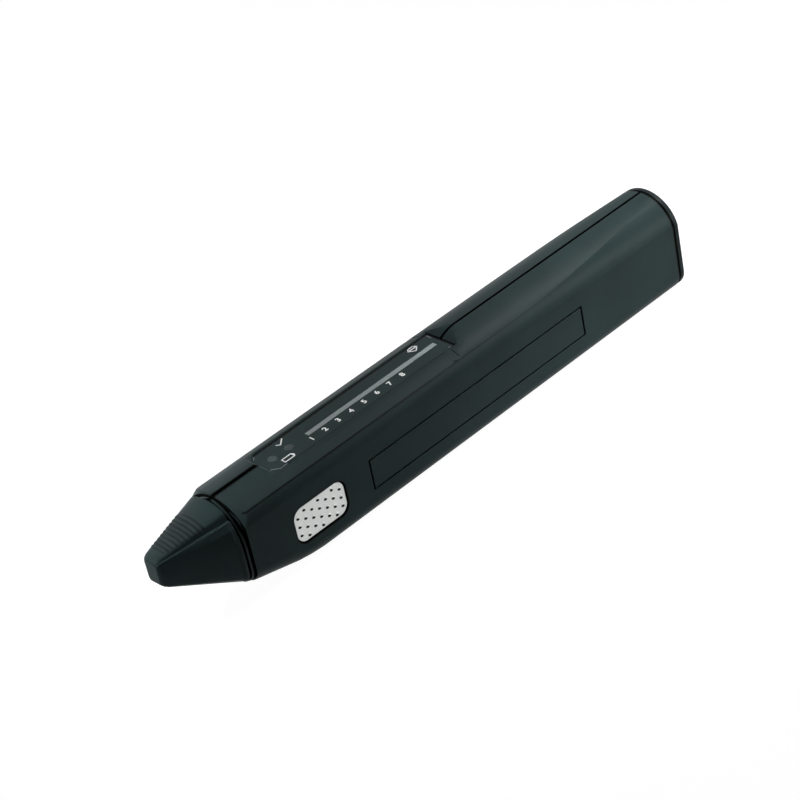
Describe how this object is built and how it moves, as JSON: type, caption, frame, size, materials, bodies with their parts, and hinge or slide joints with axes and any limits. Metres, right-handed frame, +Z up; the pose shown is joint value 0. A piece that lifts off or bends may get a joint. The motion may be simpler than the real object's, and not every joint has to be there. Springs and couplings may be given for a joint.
{
  "type": "diamond tester",
  "caption": "Hand-held diamond tester: arched two-half housing with a lit scale, a studded push pad, a sprung probe under a ribbed nose cap, and cells behind a tail cap.",
  "frame": {"origin": "middle of the object's box, on the flat base it rests on", "axes": "+X runs from the nose cap to the tail, -Y faces the side with the push pad, +Z is up"},
  "size_m": [0.176, 0.02, 0.0272],
  "materials": {
    "shell": "fine satin texture",
    "cap": "fine satin texture",
    "window": "polished, smoked",
    "lens": "frosted",
    "pad_metal": "satin",
    "steel": "plated",
    "copper": "bare copper",
    "probe_brass": "turned",
    "board": "solder mask",
    "black_plastic": "moulded",
    "pale_plastic": "moulded",
    "cell_wrap": "printed sleeve",
    "wire": "insulated"
  },
  "bodies": {
    "housing": {"right_shell": "shell", "left_shell": "shell", "case_screws": "steel", "nose_bush": "cap", "probe_spring": "steel", "spring_seat": "probe_brass", "probe_leads": "wire", "display_window": "window", "light_bar": "lens", "ready_led": "lens", "low_battery_led": "lens", "bar_leds": "pale_plastic", "main_board": "board", "controller_chip": "black_plastic", "board_components": "pale_plastic", "buzzer": "black_plastic", "button_switch": "black_plastic", "switch_board": "board", "switch_leads": "wire", "battery_bulkhead": "black_plastic", "positive_contact": "steel", "negative_contact": "steel", "negative_spring": "steel", "upper_cell": "cell_wrap", "lower_cell": "cell_wrap"},
    "nose_cap": {"protective_cap": "cap"},
    "probe": {"probe_rod": "probe_brass", "probe_tip": "copper", "probe_heater": "pale_plastic"},
    "button": {"button_pad": "pad_metal", "button_carrier": "black_plastic", "switch_plunger": "pale_plastic"},
    "tail": {"tail_cap": "shell", "bridge_contact": "steel", "bridge_spring": "steel"}
  },
  "joints": [
    {"name": "cap_pull", "type": "slide", "parent": "housing", "child": "nose_cap", "axis": [-1, 0, 0], "range_m": [0, 0.03]},
    {"name": "probe_press", "type": "slide", "parent": "housing", "child": "probe", "axis": [1, 0, 0], "range_m": [0, 0.002], "stiffness_N_per_m": 300, "springref_m": -0.002, "deforming": ["probe_spring"]},
    {"name": "button_press", "type": "slide", "parent": "housing", "child": "button", "axis": [0, 1, 0], "range_m": [0, 0.0007], "stiffness_N_per_m": 1500, "springref_m": -0.0003},
    {"name": "tail_pull", "type": "slide", "parent": "housing", "child": "tail", "axis": [1, 0, 0], "range_m": [0, 0.02]}
  ]
}
